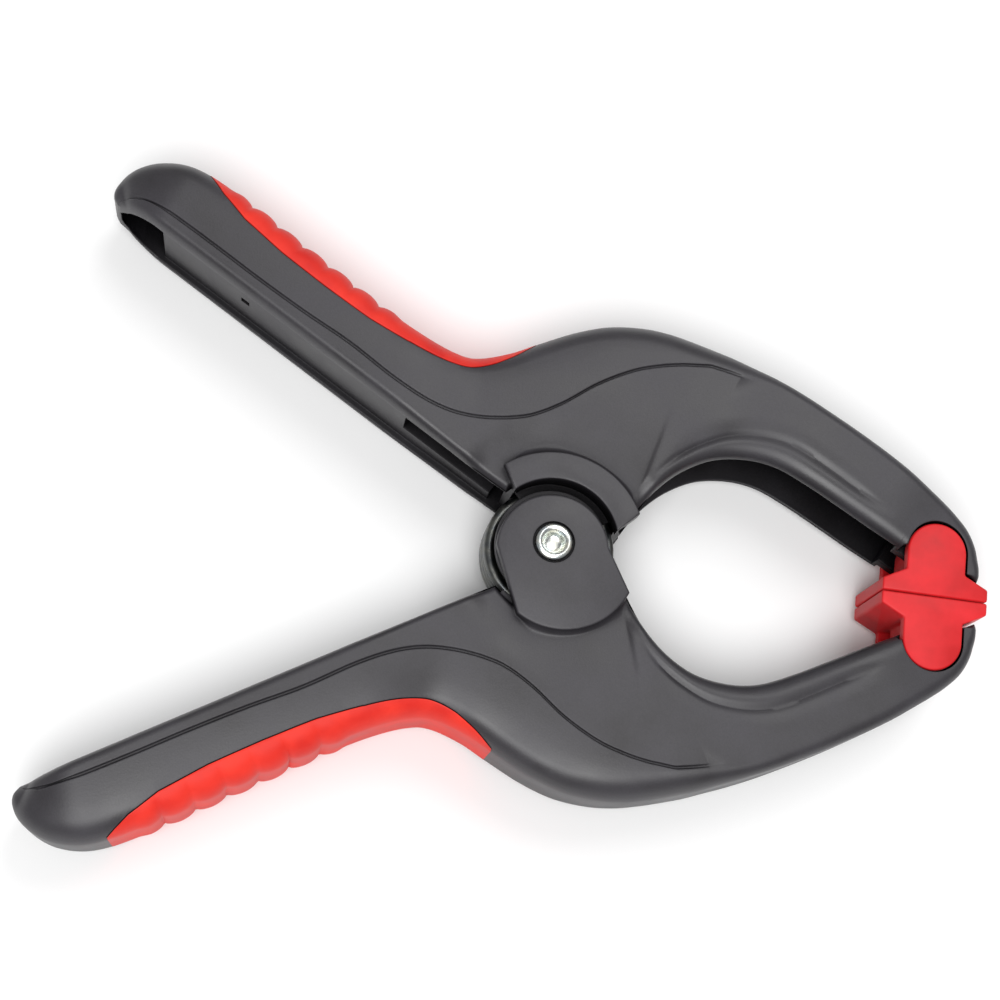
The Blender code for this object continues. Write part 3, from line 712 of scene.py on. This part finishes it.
def pocketCutters():
    p = padPlace
    start = (p["x"] + p["pocketRadius"], 0.0)
    outline = [start] + arcPoints((p["x"], p["y"]), p["pocketRadius"], 0, 172, 62)
    outline += [(p["x"] - p["pocketNotch"], p["y"] + 0.9), (p["x"] - p["pocketWay"], p["y"] - 0.4),
                (p["x"] - p["pocketWay"], 0.0)]
    return [plateFrom(outline, p["pocketFloor"], 20.0), plateFrom(outline, -20.0, -p["pocketFloor"])]


gripShape = {
    # along the handle and depth down its side, then x and depth where it runs out over the shoulder
    "depths": [(118.2, 0.35), (116.0, 1.5), (112.0, 3.3), (104.0, 5.4), (92.0, 6.2), (79.0, 6.2),
               (66.0, 5.8), (56.0, 4.8)],
    "shoulderDepths": [(-38.0, 4.8), (-30.0, 4.2), (-24.0, 3.7), (-18.0, 2.9), (-12.0, 1.5),
                       (-8.4, 0.4)],
    "shoulderAbove": 35,
    "proud": 0.14,
    "skirt": 1.5,
    "spine": 2.8,
    "ridgeProud": 0.45,
    "ridgePitch": 7.7,
    "ridgeDepth": 1.4,
    "ridgeCount": 7,
    "ridgeStart": 113.0,
    "steps": 26,
    "seam": 0.16,
}


def ridgeDip(along):
    g = gripShape
    travelled = (g["ridgeStart"] - along) / g["ridgePitch"]
    if travelled < 0 or travelled > g["ridgeCount"]:
        return 0.0
    ends = smoothStep(0, 0.6, travelled)
    ends *= 1 - smoothStep(g["ridgeCount"] - 0.6, g["ridgeCount"], travelled)
    return g["ridgeDepth"] * (1 - abs(sin(pi * travelled)) ** 0.5) * ends - g["ridgeProud"] * ends


def gripLoft(seat):
    # the saddle, or the slightly larger cutter that makes its seat in the arm
    g = gripShape
    rings = []
    for outer, inner in armStations(g["steps"]):
        along = handleAlong(outer)
        deep = betweenPairs(g["depths"], along)
        if deep is None and outer[1] > g["shoulderAbove"]:
            deep = betweenPairs(g["shoulderDepths"], outer[0])
        if deep is None:
            continue
        edge = Vector((outer[0], outer[1]))
        rim = Vector(inner)
        half, rounding, _, top = armTop(edge, rim, outer[2])
        dip = ridgeDip(along)
        spine = min(g["spine"], 0.6 * deep)
        skirt = top(deep) - g["skirt"]
        if seat:
            deep += g["seam"]
            section = [(-3.0, 0.0), (-3.0, half + 3), (deep, half + 3), (deep, skirt - g["seam"]),
                       (spine + g["seam"], skirt - g["seam"]), (spine + g["seam"], 0.0)]
        else:
            # flush with the moulding at its edges, dipping between the finger ridges
            reach = min(rounding, deep - 0.3)
            section = [(dip, 0.0), (dip, top(0) * 0.6)]
            for a in range(0, 91, 10):
                depth = reach * (1 - cos(radians(a)))
                fade = (1 - a / 90) ** 0.7
                section.append((depth + dip * fade, top(depth) + g["proud"] - 0.35 * dip * fade))
            section += [(deep - 0.28, top(deep - 0.28) + g["proud"]),
                        (deep - 0.08, top(deep) + g["proud"] * 0.3),
                        (deep, top(deep) - 0.35), (deep, skirt), (spine, skirt), (spine, 0.0)]
            for k in range(2, len(section) - 3):
                section[k] = (max(section[k][0], section[k - 1][0] + 0.01), section[k][1])
        inward = (rim - edge).normalized()
        ring = []
        for depth, height in section + [(d, -z) for d, z in section[-2:0:-1]]:
            x, y = edge + inward * depth
            ring.append((x, y, height))
        rings.append(ring)
    return loftThrough(rings)


ribShape = {"start": 1.5, "short": 7, "half": 1, "chamfer": 0.3}


def jawRib(stations):
    # the low rib along the middle of the jaw's inside
    s = armShape
    r = ribShape
    flat = r["half"] - r["chamfer"]
    first = (len(s["handle"]) + 1 + len(s["hub"]) + 2) * s["stepsPerSpan"]
    last = first + (len(s["jaw"]) - 4) * s["stepsPerSpan"]
    rings = []
    for outer, inner in stations[first:last]:
        edge = Vector((outer[0], outer[1]))
        rim = Vector(inner)
        inward = (rim - edge).normalized()
        deep = (rim - edge).length - r["short"]
        corners = ((r["start"], -r["half"]), (deep - r["chamfer"], -r["half"]), (deep, -flat),
                   (deep, flat), (deep - r["chamfer"], r["half"]), (r["start"], r["half"]))
        rings.append([(*(edge + inward * depth), z) for depth, z in corners])
    return loftThrough(rings)


stations = armStations(armShape["stepsPerSpan"])
armLoft = looseObject("armLoft", armBody(stations))
carve(armLoft, looseObject("armCutters", joined(gripLoft(True), *pocketCutters())))
print("arm body carved:", len(armLoft.data.polygons), "faces")
hubShells, hubObjects = makeHub()
armParts = joined(*hubShells, jawRib(stations))
armMesh = shellsOf(armLoft, makeWeb(), *hubObjects, looseObject("armParts", armParts))
for side, turn in sides.items():
    placePiece(f"{side}ArmMoulding", armMesh.copy(), turn, nylon, f"{side}_arm_body",
               f"{side}_arm")
armMesh.free()
print("arms placed")

gripMesh = gripLoft(False)
bmesh.ops.recalc_face_normals(gripMesh, faces=gripMesh.faces)
for side, turn in sides.items():
    placePiece(f"{side}GripMoulding", gripMesh.copy(), turn, gripRubber,
               f"{side}_arm_body", f"{side}_grip", sharpAngle=50)
gripMesh.free()
print("grips placed")


padShape = {
    "half": 11.7,
    "wingHalf": 12.75,
    "wingRoot": 5.9,
    "wingTip": 3.05,
    "gap": 0.15,
    "lobe": 7.1,
    "earInner": 8.35,
    "coreHalf": 4.55,
    "coreRadius": 5.6,
    "footSink": 1.5,
    "edgeRound": 0.5,
}


def makePad():
    p = padShape
    py = padPlace["y"]
    root = p["wingRoot"] - py
    face = p["gap"] - py
    tip = p["wingTip"] - py
    wing = [(-p["wingHalf"], face), (p["wingHalf"], face), (p["wingHalf"], tip), (p["lobe"], root),
            (-p["lobe"], root), (-p["wingHalf"], tip)]
    pad = looseObject("pad", plateFrom(wing, -p["half"], p["half"]))
    foot = root - p["footSink"]
    lobes = ((p["lobe"], p["earInner"], p["half"]), (p["lobe"], -p["half"], -p["earInner"]),
             (p["coreRadius"], -p["coreHalf"], p["coreHalf"]))
    for radius, low, high in lobes:
        outline = arcPoints((0, 0), radius, 0, 180, 40) + [(-radius, foot), (radius, foot)]
        carve(pad, looseObject("lobe", plateFrom(outline, low, high)), "UNION")
    bm = shellsOf(pad)
    bmesh.ops.remove_doubles(bm, verts=bm.verts, dist=0.001)
    bmesh.ops.dissolve_limit(bm, angle_limit=radians(1), verts=bm.verts, edges=bm.edges)
    corners = [e for e in bm.edges if e.is_manifold and e.calc_face_angle() > radians(20)]
    bmesh.ops.bevel(bm, geom=corners, offset=p["edgeRound"], offset_type="OFFSET", segments=3,
                    profile=0.5, affect="EDGES", material=-1, clamp_overlap=True)
    bmesh.ops.translate(bm, vec=(padPlace["x"], py, 0), verts=bm.verts)
    return cleaned(bm)


padMesh = makePad()
bmesh.ops.recalc_face_normals(padMesh, faces=padMesh.faces)
for side, turn in sides.items():
    placePiece(f"{side}JawPad", padMesh.copy(), turn, padRubber,
               f"{side}_pad_body", f"{side}_pad", sharpAngle=50)
padMesh.free()
print("pads placed")


# radius and height, from the factory head underneath to the dimple in the clinched ring on top
rivetProfile = [
    (0, -15.0), (3.2, -15.0), (3.7, -14.93), (4.05, -14.7), (4.25, -14.4), (4.3, -14.1), (4.3, -13.7),
    (3.0, -13.7), (3.0, 13.7), (4.3, 13.7), (4.3, 14.3), (4.2, 14.6), (4.0, 14.82), (3.75, 14.95),
    (3.45, 15.0), (3.15, 14.95), (2.85, 14.78), (2.6, 14.5), (2.45, 14.1), (2.35, 13.5), (2.3, 12.8),
    (2.15, 12.35), (1.8, 12.1), (1.2, 11.95), (0.5, 11.9), (0, 11.9),
]
rivet = spunFrom(rivetProfile)
bmesh.ops.recalc_face_normals(rivet, faces=rivet.faces)
placePiece("clinchedRivet", rivet, 0.0, zincSteel, "lower_arm_body", "pivot_rivet")
print("rivet placed")


springShape = {"wire": 2.8, "radius": 14.0, "half": 6.2, "turns": 4, "pointsPerTurn": 56,
               "legAlong": 44.0, "legOut": 7.2, "legHeight": 1.6, "legPoints": 26}


def wirePiece(name, points):
    # a round wire along the points, made a mesh in millimetres
    curve = bpy.data.curves.new(name, "CURVE")
    curve.dimensions = "3D"
    curve.bevel_depth = springShape["wire"] / 2
    curve.bevel_resolution = 5
    curve.use_fill_caps = True
    line = curve.splines.new("POLY")
    line.points.add(len(points) - 1)
    for target, point in zip(line.points, points):
        target.co = (*point, 1)
    scratch = bpy.data.objects.new(name, curve)
    bpy.context.scene.collection.objects.link(scratch)
    depsgraph = bpy.context.evaluated_depsgraph_get()
    mesh = bpy.data.meshes.new_from_object(scratch.evaluated_get(depsgraph))
    bm = bmesh.new()
    bm.from_mesh(mesh)
    bpy.data.objects.remove(scratch)
    bpy.data.meshes.remove(mesh)
    bmesh.ops.remove_doubles(bm, verts=bm.verts, dist=0.0005)
    bmesh.ops.recalc_face_normals(bm, faces=bm.faces)
    return bm


def coilPoints():
    s = springShape
    leaving = radians(armShape["handleAngle"]) - pi / 2
    sweep = 2 * leaving + 2 * pi * s["turns"]
    count = round(s["pointsPerTurn"] * sweep / (2 * pi))
    points = []
    for k in range(count + 1):
        share = k / count
        angle = -leaving + sweep * share
        height = s["half"] * (2 * share - 1)
        points.append((s["radius"] * cos(angle), s["radius"] * sin(angle), height))
    return points


def legPoints(side):
    s = springShape
    out = s["radius"] - armShape["handleOffset"]
    points = []
    for k in range(s["legPoints"] + 1):
        share = k / s["legPoints"]
        ease = share * share * (3 - 2 * share)
        x, y = onHandle(s["legAlong"] * share, out + (s["legOut"] - out) * ease)
        points.append((x, side * y, side * (s["half"] + (s["legHeight"] - s["half"]) * ease)))
    return points


# the coil is twisted between the arms, so it rides on neither
coil = placePiece("torsionCoil", wirePiece("coil", coilPoints()), 0.0, springWire, None,
                  "torsion_spring")
coilEnds = [(0, 0, (midHeight + way * springShape["half"]) * mm) for way in (-1, 1)]
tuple(coilEnds[0])
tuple(coilEnds[1])
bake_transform(coil)
for side, way in (("upper", 1), ("lower", -1)):
    placePiece(f"{side}SpringLeg", wirePiece("leg", legPoints(way)), 0.0, springWire,
               f"{side}_arm_body", "torsion_spring")
print("spring placed")

# nothing of these shows from outside, so the plain solids stay and only get their metal
for node in ("pivot_sleeve", "upper_pad_pin", "lower_pad_pin"):
    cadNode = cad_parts[node]
    cadNode.data.materials.clear()
    cadNode.data.materials.append(zincSteel)


studio = {
    "floorColour": "#f6f6f6",
    "worldStrength": 0.32,
    "keyPower": 14.5,
    "keyPlace": (-0.12, -0.5, 1.2),
    "keySize": 0.9,
    "fillPower": 5.5,
    "fillPlace": (0.3, 0.62, 1.15),
    "fillSize": 0.8,
}


def softBox(name, place, size, power):
    lamp = bpy.data.lights.new(name, "AREA")
    lamp.shape = "DISK"
    lamp.size = size
    lamp.energy = power
    holder = bpy.data.objects.new(name, lamp)
    holder.location = place
    holder.rotation_euler = (-Vector(place)).to_track_quat("-Z", "Y").to_euler()
    bpy.context.scene.collection.objects.link(holder)


floorMesh = bmesh.new()
bmesh.ops.create_grid(floorMesh, x_segments=1, y_segments=1, size=3.0)
floorData = bpy.data.meshes.new("floor")
floorMesh.to_mesh(floorData)
floorMesh.free()
floor = bpy.data.objects.new("floor", floorData)
bpy.context.scene.collection.objects.link(floor)
# matt studio paper
paper, paperTree, paperShader, paperPlace = newMaterial("studioPaper", {
    "Base Color": hexColour(studio["floorColour"]), "Roughness": 0.9, "Specular IOR Level": 0.1})
floorData.materials.append(paper)

world = bpy.data.worlds.new("softRoom")
bpy.context.scene.world = world
world.use_nodes = True
world.node_tree.nodes["Background"].inputs["Color"].default_value = (1, 1, 1, 1)
world.node_tree.nodes["Background"].inputs["Strength"].default_value = studio["worldStrength"]
softBox("keySoftBox", studio["keyPlace"], studio["keySize"], studio["keyPower"])
softBox("fillSoftBox", studio["fillPlace"], studio["fillSize"], studio["fillPower"])
bpy.context.scene.view_settings.view_transform = "Standard"

view = {"place": (-0.0559, -0.1138, 0.4887), "target": (-0.0122, 0.0119, 0.015), "roll": 26.3,
        "lens": 74.4}
cameraData = bpy.data.cameras.new("camera")
cameraData.lens = view["lens"]
cameraData.clip_start = 0.01
camera = bpy.data.objects.new("camera", cameraData)
camera.location = view["place"]
aim = (Vector(view["target"]) - Vector(view["place"])).to_track_quat("-Z", "Y").to_matrix()
camera.rotation_euler = (aim @ Matrix.Rotation(radians(view["roll"]), 3, "Z")).to_euler()
bpy.context.scene.collection.objects.link(camera)
bpy.context.scene.camera = camera
print("studio set")
